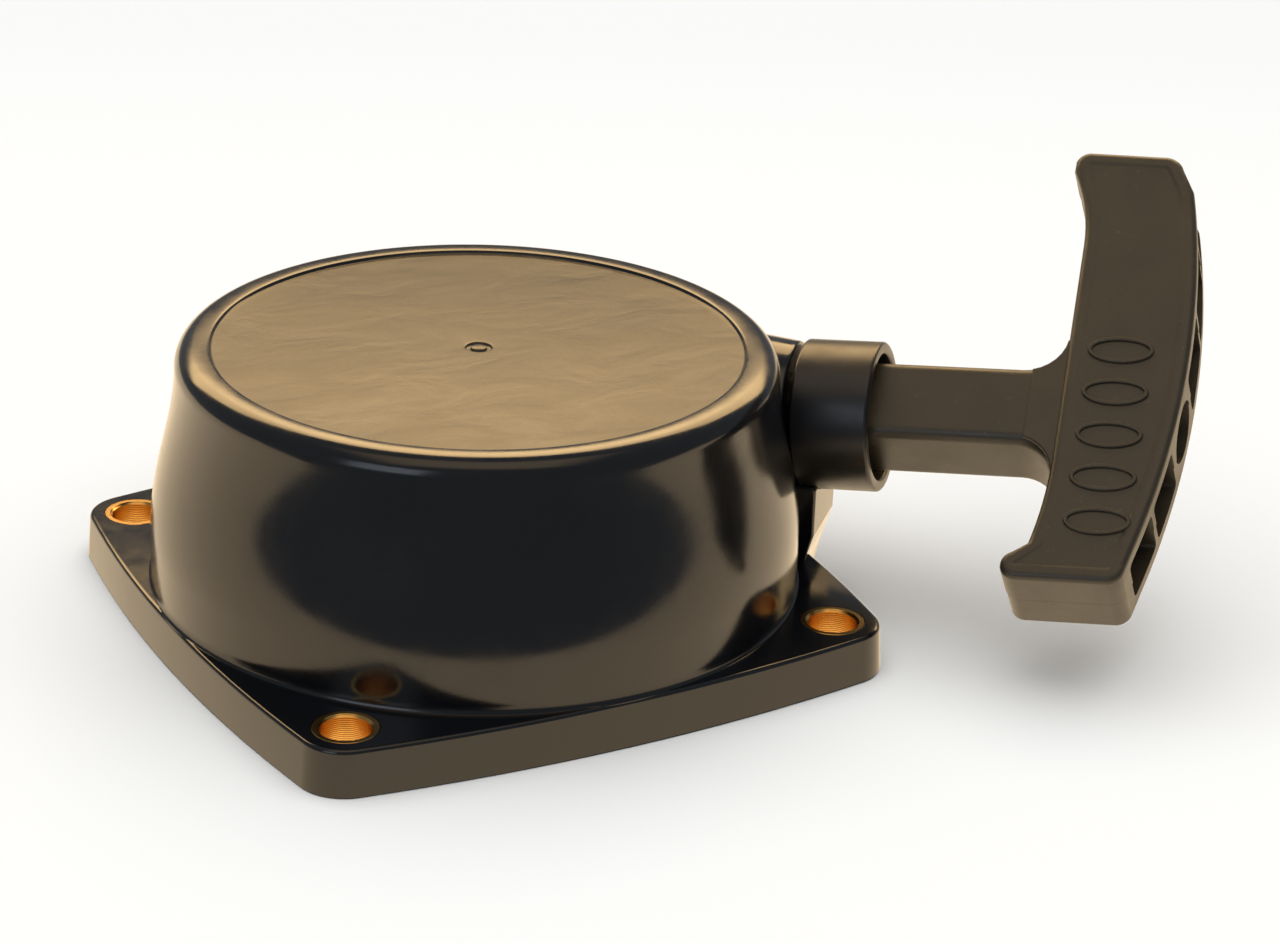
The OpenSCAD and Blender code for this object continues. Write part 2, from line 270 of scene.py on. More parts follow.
def tube(name, path, r, sides=16, place=None):
    """A round tube through points in millimetres."""
    points = [Vector(p) for p in path]
    along = [(points[min(i + 1, len(points) - 1)] - points[max(i - 1, 0)]).normalized()
             for i in range(len(points))]
    side = along[0].orthogonal().normalized()
    loops = []
    for p, forward in zip(points, along):
        side = (side - forward * side.dot(forward)).normalized()
        over = forward.cross(side)
        loops.append([p + (side * math.cos(a) + over * math.sin(a)) * r
                      for a in (math.tau * k / sides for k in range(sides))])
    return loft(name, loops, place)


def rod(name, r, x0, x1, ease=0.0, steps=96):
    """A bar along the rope line, its far edge rounded."""
    return lathe(name, [(0, x0), (r, x0)] + arc(r - ease, x1 - ease, ease, 0, 90, 5) + [(0, x1)],
                 ALONG_ROPE, steps)


def upright(name, r, z0, z1, x=0.0, y=0.0, steps=96):
    """A bar along the Z axis."""
    return lathe(name, [(0, z0), (r, z0), (r, z1), (0, z1)],
                 Matrix.Translation(Vector((x, y, 0)) * MM), steps)


def about_z(degrees):
    return Matrix.Rotation(math.radians(degrees), 4, "Z")


def bake(obj):
    """Applies the object's modifiers."""
    shaped = obj.evaluated_get(bpy.context.evaluated_depsgraph_get())
    mesh = bpy.data.meshes.new_from_object(shaped)
    obj.modifiers.clear()
    obj.data = mesh
    return obj


def combine(obj, how, *tools):
    """Joins or cuts the piece with closed tool shapes, which are used up."""
    for tool in tools:
        step = obj.modifiers.new(how, "BOOLEAN")
        step.operation = how
        step.solver = "EXACT"
        step.object = tool
        bake(obj)
        bpy.data.objects.remove(tool)
    return obj


def stands_for(obj, body, slot, finishes, *nodes, crease=32):
    """Finishes a piece, makes smooth faces with sharp creases, and puts it in place of its CAD nodes."""
    for made in finishes:
        obj.data.materials.append(made)
    obj.data.shade_smooth()
    obj.data.set_sharp_from_angle(angle=math.radians(crease))
    even = obj.modifiers.new("even", "WEIGHTED_NORMAL")
    even.keep_sharp = True
    even.weight = 80
    bake(obj)
    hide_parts(*nodes)
    if body:
        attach(obj, body)
    return obj


# ------------------------------------------------------------------ making materials

def linear(hex_colour):
    """An sRGB hex colour as linear RGBA."""
    parts = [int(hex_colour[i:i + 2], 16) / 255 for i in (1, 3, 5)]
    return [c / 12.92 if c <= 0.04045 else ((c + 0.055) / 1.055) ** 2.4 for c in parts] + [1.0]


def every(size_mm):
    """The texture scale that gives a pattern this size."""
    return 1 / (size_mm * MM)


def add(tree, kind, inputs=None, settings=None, out=None):
    """Adds a node with its settings, values and links, and gives back one of its outputs."""
    made = tree.nodes.new("ShaderNode" + kind)
    for key, value in (settings or {}).items():
        setattr(made, key, value)
    for key, value in (inputs or {}).items():
        at = made.inputs[key] if isinstance(key, int) else next(
            s for s in made.inputs if s.enabled and s.name == key)
        if isinstance(value, bpy.types.NodeSocket):
            tree.links.new(value, at)
        else:
            at.default_value = value
    if out:
        return made.outputs[out]
    return next((s for s in made.outputs if s.enabled), None)


def material(name):
    """A new empty material, its tree, and the place of a point on the object."""
    made = bpy.data.materials.new(name)
    made.use_nodes = True
    made.node_tree.nodes.clear()
    return made, made.node_tree, add(made.node_tree, "TexCoord", out="Object")


def surface(tree, **inputs):
    """The material's shader; an underscore in a name stands for a space."""
    named = {key.replace("_", " "): value for key, value in inputs.items()}
    add(tree, "OutputMaterial", {"Surface": add(tree, "BsdfPrincipled", named)})


def black_nylon(name, rough_from, rough_to):
    """Glass-filled nylon 6, near black, with faint flow waves; the mould's polish sets how wet it looks."""
    made, tree, where = material(name)
    flow = add(tree, "TexNoise", {"Vector": where, "Scale": every(16), "Detail": 2.0})
    haze = add(tree, "TexNoise", {"Vector": where, "Scale": every(5), "Detail": 5.0, "Roughness": 0.65})
    # glass fibres are far finer than this; it is drawn at 0.6 mm so that it shows
    fibre = add(tree, "TexNoise", {"Vector": where, "Scale": every(0.6), "Detail": 3.0})
    colour = add(tree, "Mix", {"Factor": flow, "A": linear("#08090c"), "B": linear("#0f1013")},
                 {"data_type": "RGBA"})
    rough = add(tree, "MapRange", {"Value": haze, "From Min": 0.3, "From Max": 0.7, "To Min": rough_from,
                                      "To Max": rough_to})
    waves = add(tree, "Bump", {"Height": flow, "Distance": 0.12 * MM, "Strength": 0.5})
    grain = add(tree, "Bump", {"Height": fibre, "Distance": 0.012 * MM, "Strength": 0.4, "Normal": waves})
    surface(tree, Base_Color=colour, Roughness=rough, Normal=grain, IOR=1.53)
    return made


def satin_nylon():
    """The same nylon from a spark-eroded part of the mould: satin, clouded by flow from the gate."""
    made, tree, where = material("glass_filled_nylon_satin")
    away = add(tree, "Mapping", {"Vector": where, "Scale": (1.0, 1.6, 1.0), "Rotation": (0, 0, 0.6)})
    flow = add(tree, "TexNoise", {"Vector": away, "Scale": every(15), "Detail": 3.0, "Distortion": 0.6})
    erosion = add(tree, "TexNoise", {"Vector": where, "Scale": every(0.45), "Detail": 2.0})
    colour = add(tree, "Mix", {"Factor": flow, "A": linear("#1b1610"), "B": linear("#2e261b")},
                 {"data_type": "RGBA"})
    rough = add(tree, "MapRange", {"Value": flow, "From Min": 0.3, "From Max": 0.7,
                                   "To Min": 0.29, "To Max": 0.4})
    waves = add(tree, "Bump", {"Height": flow, "Distance": 0.5 * MM, "Strength": 0.3})
    grain = add(tree, "Bump", {"Height": erosion, "Distance": 0.03 * MM, "Strength": 0.5, "Normal": waves})
    surface(tree, Base_Color=colour, Roughness=rough, Normal=grain, IOR=1.53)
    return made


def handled_nylon():
    """Plain nylon from an eroded mould, much handled: brown-black satin with pale hairline scuffs."""
    made, tree, where = material("nylon_satin_handled")
    cloud = add(tree, "TexNoise", {"Vector": where, "Scale": every(8), "Detail": 5.0, "Roughness": 0.6})
    erosion = add(tree, "TexNoise", {"Vector": where, "Scale": every(0.4), "Detail": 2.0})
    drawn = add(tree, "Mapping", {"Vector": where, "Rotation": (0.3, 0.9, 0.5), "Scale": (1.0, 14.0, 14.0)})
    hair = add(tree, "TexNoise", {"Vector": drawn, "Scale": every(8), "Detail": 6.0, "Roughness": 0.7})
    scuff = add(tree, "MapRange", {"Value": hair, "From Min": 0.63, "From Max": 0.72})
    clean = add(tree, "Mix", {"Factor": cloud, "A": linear("#1e1a12"), "B": linear("#31291c")},
                {"data_type": "RGBA"})
    colour = add(tree, "Mix", {"Factor": scuff, "A": clean, "B": linear("#4c4333")}, {"data_type": "RGBA"})
    rough = add(tree, "MapRange", {"Value": cloud, "From Min": 0.3, "From Max": 0.7,
                                   "To Min": 0.34, "To Max": 0.48})
    grain = add(tree, "Bump", {"Height": erosion, "Distance": 0.03 * MM, "Strength": 0.6})
    surface(tree, Base_Color=colour, Roughness=rough, Normal=grain, IOR=1.53)
    return made


def reel_nylon():
    """Charcoal nylon from a plain mould: dull and even."""
    made, tree, where = material("nylon_plain_moulded")
    cloud = add(tree, "TexNoise", {"Vector": where, "Scale": every(10), "Detail": 3.0})
    skin = add(tree, "TexNoise", {"Vector": where, "Scale": every(0.4), "Detail": 2.0})
    colour = add(tree, "Mix", {"Factor": cloud, "A": linear("#26272a"), "B": linear("#37393d")},
                 {"data_type": "RGBA"})
    rough = add(tree, "MapRange", {"Value": cloud, "To Min": 0.38, "To Max": 0.52})
    grain = add(tree, "Bump", {"Height": skin, "Distance": 0.02 * MM, "Strength": 0.5})
    surface(tree, Base_Color=colour, Roughness=rough, Normal=grain, IOR=1.53)
    return made


def turned_brass():
    """CuZn39 brass off the lathe: warm yellow, fine tool rings, a brown tarnish here and there."""
    made, tree, where = material("brass_turned")
    height = add(tree, "SeparateXYZ", {"Vector": where}, out="Z")
    tarnish = add(tree, "TexNoise", {"Vector": where, "Scale": every(2.5), "Detail": 5.0})
    # a 0.1 mm feed, drawn at 0.3 mm so that it shows
    rings = add(tree, "Math", {0: add(tree, "Math", {0: height, 1: math.tau * every(0.3)},
                                      {"operation": "MULTIPLY"})}, {"operation": "SINE"})
    colour = add(tree, "Mix", {"Factor": tarnish, "A": linear("#a5783a"), "B": linear("#efc478")},
                 {"data_type": "RGBA"})
    rough = add(tree, "MapRange", {"Value": tarnish, "To Min": 0.34, "To Max": 0.16})
    grain = add(tree, "Bump", {"Height": rings, "Distance": 0.012 * MM, "Strength": 0.5})
    surface(tree, Base_Color=colour, Roughness=rough, Normal=grain, Metallic=1.0)
    return made


def sintered(name, pale, dark, rough_from, rough_to):
    """Pressed and sintered metal powder: matt, with a fine open grain."""
    made, tree, where = material(name)
    cloud = add(tree, "TexNoise", {"Vector": where, "Scale": every(4), "Detail": 4.0})
    pores = add(tree, "TexVoronoi", {"Vector": where, "Scale": every(0.35)})
    colour = add(tree, "Mix", {"Factor": cloud, "A": linear(dark), "B": linear(pale)},
                 {"data_type": "RGBA"})
    rough = add(tree, "MapRange", {"Value": cloud, "To Min": rough_from, "To Max": rough_to})
    grain = add(tree, "Bump", {"Height": pores, "Distance": 0.04 * MM, "Strength": 0.35})
    surface(tree, Base_Color=colour, Roughness=rough, Normal=grain, Metallic=1.0)
    return made


def plated_steel():
    """Steel with bright zinc plating: silvery, faintly yellow and blue, softened by fine stamping marks."""
    made, tree, where = material("zinc_plated_steel")
    cloud = add(tree, "TexNoise", {"Vector": where, "Scale": every(6), "Detail": 4.0})
    marks = add(tree, "TexNoise", {"Vector": where, "Scale": every(0.3), "Detail": 3.0})
    colour = add(tree, "Mix", {"Factor": cloud, "A": linear("#a9adb0"), "B": linear("#d4d1c4")},
                 {"data_type": "RGBA"})
    rough = add(tree, "MapRange", {"Value": cloud, "To Min": 0.4, "To Max": 0.24})
    grain = add(tree, "Bump", {"Height": marks, "Distance": 0.01 * MM, "Strength": 0.5})
    surface(tree, Base_Color=colour, Roughness=rough, Normal=grain, Metallic=1.0)
    return made


def spring_steel():
    """Rolled and blued spring strip and wire: dark blue-grey with a dull gleam."""
    made, tree, where = material("spring_steel_blued")
    temper = add(tree, "TexNoise", {"Vector": where, "Scale": every(7), "Detail": 3.0})
    rolled = add(tree, "TexNoise", {"Vector": where, "Scale": every(0.5), "Detail": 3.0})
    colour = add(tree, "Mix", {"Factor": temper, "A": linear("#3c424d"), "B": linear("#6a6a70")},
                 {"data_type": "RGBA"})
    rough = add(tree, "MapRange", {"Value": temper, "To Min": 0.24, "To Max": 0.36})
    grain = add(tree, "Bump", {"Height": rolled, "Distance": 0.01 * MM, "Strength": 0.4})
    surface(tree, Base_Color=colour, Roughness=rough, Normal=grain, Metallic=1.0)
    return made


def braided_cord():
    """Braided nylon cord: off-white strands 1.1 mm wide that cross both ways, dull and a little fuzzy, with
    painted shade darkening the grooves between strands.
    """
    made, tree, where = material("nylon_cord_braided")
    grey = add(tree, "TexNoise", {"Vector": where, "Scale": every(6), "Detail": 4.0})
    fuzz = add(tree, "TexNoise", {"Vector": where, "Scale": every(0.2), "Detail": 3.0})
    strands = []
    for lean in ((1.0, 0.6, 0.8), (-0.6, 1.0, -0.8)):
        across = add(tree, "VectorMath", {0: where, 1: lean}, {"operation": "DOT_PRODUCT"})
        strands.append(add(tree, "Math", {0: add(tree, "Math", {0: across, 1: math.tau * every(1.6)},
                                                 {"operation": "MULTIPLY"})}, {"operation": "SINE"}))
    weave = add(tree, "Math", {0: strands[0], 1: strands[1]}, {"operation": "MAXIMUM"})
    # painted shade: the colour darkens where the weave dips, in the grooves between strands
    shade = add(tree, "MapRange", {"Value": weave, "From Min": -0.6, "From Max": 1.0})
    strand_and_groove_shade = add(tree, "Mix", {"Factor": shade, "A": linear("#8f8874"), "B": linear("#ded9c9")},
                 {"data_type": "RGBA"})
    colour = add(tree, "Mix", {"Factor": grey, "A": strand_and_groove_shade, "B": linear("#b5ae9a")}, {"data_type": "RGBA"})
    fibres = add(tree, "Bump", {"Height": fuzz, "Distance": 0.05 * MM, "Strength": 0.4})
    grain = add(tree, "Bump", {"Height": weave, "Distance": 0.2 * MM, "Strength": 0.8, "Normal": fibres})
    surface(tree, Base_Color=colour, Roughness=0.78, Normal=grain, Sheen_Weight=0.25, Sheen_Roughness=0.5)
    return made


POLISHED = black_nylon("glass_filled_nylon_polished", 0.12, 0.2)
DULLED = black_nylon("glass_filled_nylon_dulled", 0.3, 0.42)
SATIN = satin_nylon()
HANDLED = handled_nylon()
CHARCOAL = reel_nylon()
BRASS = turned_brass()
BRONZE = sintered("bronze_sintered", "#ad8850", "#765934", 0.38, 0.5)
HARD_STEEL = sintered("steel_sintered_hardened", "#96989b", "#63666a", 0.34, 0.46)
ZINC = plated_steel()
BLUED = spring_steel()
CORD = braided_cord()


# ------------------------------------------------------------------ housing

def drum_r(z):
    """Radius of the drum's outside at a height."""
    t = max(0.0, min(1.0, (z - BELL_Z[0]) / (BELL_Z[1] - BELL_Z[0])))
    return RIM_R + (BASE_R - RIM_R) * (1 + math.cos(math.pi * t)) / 2


def wall_line(thinner, steps=28):
    """The drum's wall from foot to rim, drawn in by that much."""
    top = DRUM_H - RIM_ROUND
    heights = [BELL_Z[0] + (top - BELL_Z[0]) * i / steps for i in range(steps + 1)]
    return [(drum_r(z) - thinner, z - thinner * i / steps) for i, z in enumerate(heights)]


def drum():
    foot = [(0, 1), (BASE_R + 0.45, 1), (BASE_R + 0.45, FLANGE_T - 0.1), (BASE_R + 0.2, FLANGE_T + 0.15),
            (BASE_R + 0.05, FLANGE_T + 0.6), (BASE_R, FLANGE_T + 1.3)]
    rim = arc(RIM_R - RIM_ROUND, DRUM_H - RIM_ROUND, RIM_ROUND, 8, 84, 12)
    step = [(RIM_R - RIM_ROUND - 0.4, DRUM_H), (PANEL_R + 0.55, DRUM_H), (PANEL_R + 0.2, DRUM_H - 0.1),
            (PANEL_R + 0.05, DRUM_H - 0.35), (PANEL_R - 0.05, PANEL_Z + 0.12), (PANEL_R - 0.25, PANEL_Z)]
    panel = [(PANEL_R * k, PANEL_Z) for k in (0.8, 0.6, 0.4, 0.2)]
    # the gate mark: a ring pressed in round a low pip
    gate = [(2.3, PANEL_Z), (1.95, PANEL_Z - 0.12), (1.75, PANEL_Z - 0.4), (1.25, PANEL_Z - 0.42),
            (1.05, PANEL_Z - 0.1), (0.8, PANEL_Z), (0, PANEL_Z + 0.02)]
    return lathe("housing_moulded", foot + wall_line(0) + rim + step + panel + gate, steps=256)


def flange_loop(thinner, z, n=16):
    """The flange's outline at one height, drawn in by that much."""
    b = FLANGE_BOW_R - FLANGE_HALF
    d = FLANGE_BOW_R - CORNER_R
    c = (-b + math.sqrt(2 * d * d - b * b)) / 2
    lean = math.degrees(math.atan2(c, c + b))
    side = arc(-b, 0, FLANGE_BOW_R - thinner, -lean, lean, n)
    side += arc(c, c, CORNER_R - thinner, lean, 90 - lean, n)[1:-1]
    turns = [about_z(90 * k) for k in range(4)]
    return [turn @ Vector((x, y, z)) for turn in turns for x, y in side]


def flange():
    """A plate with 0.4 mm of draft for the mould and a 0.6 mm round on its upper edge."""
    steps = [(0.25, 0), (0.05, 0.12), (0, 0.35), (0.4, FLANGE_T - 0.6), (0.5, FLANGE_T - 0.28),
             (0.72, FLANGE_T - 0.08), (1.05, FLANGE_T)]
    return loft("flange", [flange_loop(thinner, z) for thinner, z in steps])


def gusset():
    """The rib that carries the neck down to the flange's edge."""
    outline = rounded([(35.5, 0.3), (43.6, 0.3), (44.6, 5), (46.3, 11), (46.3, 19), (35.5, 19)], 0.8)
    stand = about_z(-45) @ Matrix.Translation(Vector((0, 31, 0)) * MM) @ Matrix.Rotation(QUARTER, 4, "X")
    return slab("gusset", outline, 0, 13, 0.5, stand)


def neck():
    """The stub that the rope leaves by, a little wider at its root."""
    x, r = NECK_ROOT
    return lathe("neck", [(0, 18), (r, 18), (r, x)]
                 + arc(NECK_R - 0.6, NECK_X - 0.6, 0.6, 8, 90, 5) + [(0, NECK_X)], ALONG_ROPE)


def drum_hollow():
    """The space inside, round the post and the ring wall, each with a small fillet at its root."""
    inner = wall_line(WALL)
    ring = [(RING_WALL_R[1] + 0.5, ROOF_Z), (RING_WALL_R[1], ROOF_Z - 0.5),
            (RING_WALL_R[1], RING_WALL_Z + 0.3),
            (RING_WALL_R[1] - 0.3, RING_WALL_Z), (RING_WALL_R[0] + 0.3, RING_WALL_Z),
            (RING_WALL_R[0], RING_WALL_Z + 0.3), (RING_WALL_R[0], ROOF_Z)]
    post = [(POST_R + 1.2, ROOF_Z), (POST_R + 0.35, ROOF_Z - 0.35), (POST_R, ROOF_Z - 1.2),
            (POST_R, POST_Z + 0.4), (POST_R - 0.4, POST_Z), (0, POST_Z)]
    mouth = [(0, -1), (BASE_R - WALL + 0.6, -1), (BASE_R - WALL + 0.6, 0), (BASE_R - WALL, 0.6)]
    hollow = lathe("hollow", mouth + inner + [(inner[-1][0] - 1.5, ROOF_Z)] + ring + post, steps=256)
    neck_root = combine(neck(), "DIFFERENCE", upright("room", REEL_ROOM_R, -2, 45))
    return combine(hollow, "DIFFERENCE", neck_root)


def housing():
    made = drum()
    combine(made, "UNION", flange(), neck(), gusset())
    bolt_bores = [upright("bolt_bore", BUSH_R + 0.01, -1, 9, x, y) for x in (-BOLT_HALF, BOLT_HALF)
                  for y in (-BOLT_HALF, BOLT_HALF)]
    combine(made, "DIFFERENCE", drum_hollow(), upright("insert_bore", INSERT_R, POST_Z - 1, INSERT_TOP),
            rod("spigot_bore", SPIGOT_R + 0.05, SPIGOT_X - 0.5, NECK_X + 1),
            rod("rope_bore", 3.2, 20, SPIGOT_X),
            rod("guide_seat", GUIDE_R + 0.1, GUIDE_X[0] - 0.2, GUIDE_X[1] + 5), *bolt_bores)
    stands_for(made, "casing", "housing_nylon", [POLISHED, SATIN], "housing")
    for face in made.data.polygons:
        x, y, z = face.center / MM
        on_panel = z > PANEL_Z - 1 and math.hypot(x, y) < PANEL_R - 0.1
        inside = z < ROOF_Z + 0.1 and math.hypot(x, y) < drum_r(z) - 1
        face.material_index = int(on_panel or inside)


def flange_bushes():
    ease = 0.35
    ring = [(BUSH_BORE_R + ease, 0), (BUSH_R - ease, 0), (BUSH_R, ease), (BUSH_R, FLANGE_T - 0.12),
            (BUSH_R - 0.12, FLANGE_T), (BUSH_BORE_R + ease, FLANGE_T), (BUSH_BORE_R, FLANGE_T - ease),
            (BUSH_BORE_R, ease)]
    for k in range(4):
        place = about_z(90 * k) @ Matrix.Translation(Vector((BOLT_HALF, BOLT_HALF, 0)) * MM)
        made = lathe(f"flange_bush_{k + 1}_turned", ring, place, 96)
        stands_for(made, "casing", "bush_brass", [BRASS], f"flange_bush_{k + 1}")


def rope_guide():
    """The collar that the rope leaves by, and its spigot in the neck."""
    near, far = GUIDE_X
    outline = rounded([(SPIGOT_R - 0.05, SPIGOT_X, 0.6), (SPIGOT_R - 0.05, near, 0), (GUIDE_R, near, 0.5),
                       (GUIDE_R, far, 0.5), (GUIDE_MOUTH_R, far, 0.4),
                       (GUIDE_MOUTH_R - 0.3, GUIDE_FLOOR_X, 1.0),
                       (GUIDE_BORE_R, GUIDE_FLOOR_X, 1.2), (GUIDE_BORE_R, SPIGOT_X, 1.0)], 0.5, 5)
    stands_for(lathe("rope_guide_moulded", outline, ALONG_ROPE), "casing", "guide_nylon", [DULLED],
               "rope_guide")


# ------------------------------------------------------------------ handle

def grip_outline(m):
    """Outline of the grip in its own plane, drawn in by a margin."""
    return (arc(GRIP_IN_X - 60, -9, 60 + m, -13.4, 0, 8)
            + arc(GRIP_IN_X - 30, 27, 30 + m, 0, 25.5, 8)
            + arc(GRIP_IN_X - 0.6, GRIP_TOP - 2.6, 2.4 - m, 165, 95, 6)
            + arc(91.6, GRIP_TOP - 3.6, 3 - m, 85, 15, 6)
            + arc(GRIP_PALM_X - PALM_R, PALM_MID, PALM_R - m, 11, -14.6, 28)
            + arc(91.2, GRIP_BOTTOM + 2.8, 2.6 - m, -20, -90, 6)
            + arc(78.4, GRIP_BOTTOM + 2.4, 2.3 - m, -90, -250, 10))


def grip():
    """The bar: a front half with a faint raised border, and a back half set in at the parting line."""
    top = GRIP_HALF_T
    front = [(2.5, top - 0.16), (2.25, top - 0.14), (2.0, top - 0.02), (1.7, top), (1.1, top)]
    front += [(1.1 - 1.02 * math.sin(a), top - 1.02 + 1.02 * math.cos(a))
              for a in (QUARTER * i / 5 for i in range(1, 6))]
    front += [(0.08, 0.1), (0.16, 0.0)]
    step = 0.2
    back = [(step + 0.1, -0.04), (step, -0.2)]
    back += [(step + 0.8 - 0.8 * math.cos(a), 0.8 - top - 0.8 * math.sin(a))
             for a in (QUARTER * i / 5 for i in range(6))]
    return loft("pull_handle_moulded", [[(x, y, z) for x, y in grip_outline(m)] for m, z in front + back],
                GRIP_FRAME)


def flare(angle):
    """How far along the stem and how much wider its flare is, at an angle of its fillet."""
    return GRIP_IN_X - STEM_FLARE * (1 - math.sin(angle)), STEM_FLARE * (1 - math.cos(angle))


def stem():
    """An oblong bar that flares out in the grip's plane to meet the grip."""
    stations = [(STEM_X, -0.8), (STEM_X + 0.25, -0.3), (STEM_X + 0.8, 0)]
    sizes = [(x, STEM_HALF_W + grow, STEM_HALF_T + grow) for x, grow in stations]
    for i in range(10):
        x, wider = flare(QUARTER * i / 10)
        sizes.append((x, STEM_HALF_W + wider, STEM_HALF_T))
    sizes.append((GRIP_IN_X + 3, sizes[-1][1], STEM_HALF_T))
    loops = []
    for x, w, t in sizes:
        section = rounded([(-w, -t), (w, -t), (w, t), (-w, t)], STEM_ROUND, 6)
        loops.append([(x, y, z) for y, z in section])
    return loft("stem", loops, GRIP_FRAME)


def stem_pad():
    """A low step on both broad faces of the stem, where it runs into the grip."""
    start = math.asin(1 - 4.6 / STEM_FLARE)
    upper = []
    for i in range(7):
        x, wider = flare(start + (QUARTER * 0.92 - start) * i / 6)
        upper.append((x, STEM_HALF_W - 0.7 + wider))
    outline = [(x, -y) for x, y in upper] + [(GRIP_IN_X + 2, -upper[-1][1]), (GRIP_IN_X + 2, upper[-1][1])]
    outline += upper[::-1]
    return slab("stem_pad", outline, -STEM_HALF_T - 0.4, STEM_HALF_T + 0.4, 0.35, GRIP_FRAME)


def palm_pocket(y0, y1):
    """One cored pocket in the palm side, with draft and round corners."""
    loops = []
    for x, grow in ((POCKET_FLOOR_X, 0), (POCKET_FLOOR_X + 0.5, 0.2), (110, 0.5)):
        w = POCKET_HALF_W + grow
        section = rounded([(y0 - grow, -w), (y1 + grow, -w), (y1 + grow, w), (y0 - grow, w)], 0.9, 3)
        loops.append([(x, y, z) for y, z in section])
    return loft("pocket", loops, GRIP_FRAME)


def grip_oval(y):
    """A raised outline of an oval, one of a row that gives the fingers some hold."""
    low = GRIP_HALF_T - 0.6
    high = GRIP_HALF_T + 0.2
    ridge = [(0, low), (0, high - 0.14), (0.14, high), (0.52, high), (0.66, high - 0.14), (0.66, low)]
    turns = [math.tau * i / 40 for i in range(40)]
    verts = [(OVAL_X + (OVAL_HALF[0] - m) * math.cos(a), y + (OVAL_HALF[1] - m) * math.sin(a), z)
             for m, z in ridge for a in turns]
    n = len(turns)
    faces = [[k * n + i, k * n + (i + 1) % n,
              (k + 1) % len(ridge) * n + (i + 1) % n, (k + 1) % len(ridge) * n + i]
             for k in range(len(ridge)) for i in range(n)]
    return piece("grip_oval", verts, faces, GRIP_FRAME)


def pull_handle():
    ovals = [grip_oval(OVAL_FIRST + OVAL_STEP * k) for k in range(5)]
    made = combine(grip(), "UNION", stem(), stem_pad(), *ovals)
    pockets = [palm_pocket(y0, y1) for y0, y1 in
               ((-24.5, -16.5), (-14.9, -6.4), (6.4, 16.4), (18, 28), (29.6, 38.6))]
    combine(made, "DIFFERENCE", rod("rope_hole", ROPE_HOLE_R, STEM_X - 1, WASHER_X + 1),
            rod("knot_well", KNOT_WELL_R, WASHER_X, 110), *pockets)
    stands_for(made, "handle", "handle_nylon", [HANDLED], "pull_handle", crease=28)


# ------------------------------------------------------------------ rope

def rope_run():
    """The straight rope from the reel to the handle; its end at the reel stays when the handle is pulled."""
    start = 0.4
    end = WASHER_X + WASHER_T + 0.2
    steps = 120
    path = [(start + (end - start) * i / steps, 0, 0) for i in range(steps + 1)]
    made = tube("rope_run_braided", path, ROPE_R, 20, ROPE_FRAME)
    stands_for(made, None, "rope", [CORD], "rope_run")
    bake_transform(made)


def rope_coil():
    """Five turns in the reel's groove: one over the others, then three side by side, then the first ones."""
    # turns wound inwards from the rope line, with the radius and height of each
    layers = [(0.0, 25.0, 23.5), (0.8, 25.0, 23.5), (1.0, 22.3, 21.0), (1.75, 22.3, 21.0),
              (2.0, 22.3, 23.5), (2.75, 22.3, 23.5), (3.0, 22.3, 26.0), (3.75, 22.3, 26.0),
              (4.0, 20.0, 25.0), (4.75, 20.0, 25.0),
              (5.06, 20.0, 23.5), (5.125, 19.2, 23.5)]
    path = []
    for (t0, r0, z0), (t1, r1, z1) in zip(layers, layers[1:]):
        steps = max(3, round((t1 - t0) * 72))
        for i in range(steps):
            t = t0 + (t1 - t0) * i / steps
            ease = (1 - math.cos(math.pi * i / steps)) / 2
            a = math.radians(45 + 360 * t)
            r = r0 + (r1 - r0) * ease
            path.append((r * math.cos(a), r * math.sin(a), z0 + (z1 - z0) * ease))
    path += [(0, 18.2, GROOVE_Z), (0, 17.0, GROOVE_Z), (0, 15.8, GROOVE_Z)]
    stands_for(tube("rope_coil_wound", path, ROPE_R, 14), "reel", "rope", [CORD], "rope_coil")


def knot(name, r, spread, tail, place):
    """A tight overhand knot about the Z axis, with the rope running in from below and a tail above."""
    path = [(0, 0, -spread * 5.2), (0, 0, -spread * 3)]
    for i in range(69):
        t = 0.25 + (math.tau - 0.5) * i / 68
        path.append((spread * (math.sin(t) + 2 * math.sin(2 * t)),
                     spread * (math.cos(t) - 2 * math.cos(2 * t)),
                     -spread * 1.4 * math.sin(3 * t)))
    path += [(0, 0, spread * 2.6), (0, 0, tail)]
    return tube(name, path, r, 14, place)


def knots():
    at_reel = about_z(90) @ Matrix.Translation(Vector((KNOT_REEL_R, 0, GROOVE_Z)) * MM)
    made = knot("rope_knot_reel_tied", 1.05, 0.55, 3.4, at_reel)
    stands_for(made, "reel", "rope", [CORD], "rope_knot_reel")
    at_handle = ALONG_ROPE @ Matrix.Translation(Vector((0, 0, KNOT_X)) * MM)
    made = knot("rope_knot_handle_tied", 1.25, 0.66, 3.9, at_handle)
    stands_for(made, "handle", "rope", [CORD], "rope_knot_handle")


def knot_washer():
    ring = rounded([(ROPE_HOLE_R, WASHER_X), (4.3, WASHER_X), (4.3, WASHER_X + WASHER_T),
                    (ROPE_HOLE_R, WASHER_X + WASHER_T)], 0.2, 3)
    stands_for(lathe("knot_washer_stamped", ring, ALONG_ROPE, 96), "handle", "plated_steel", [ZINC],
               "knot_washer")


# ------------------------------------------------------------------ reel

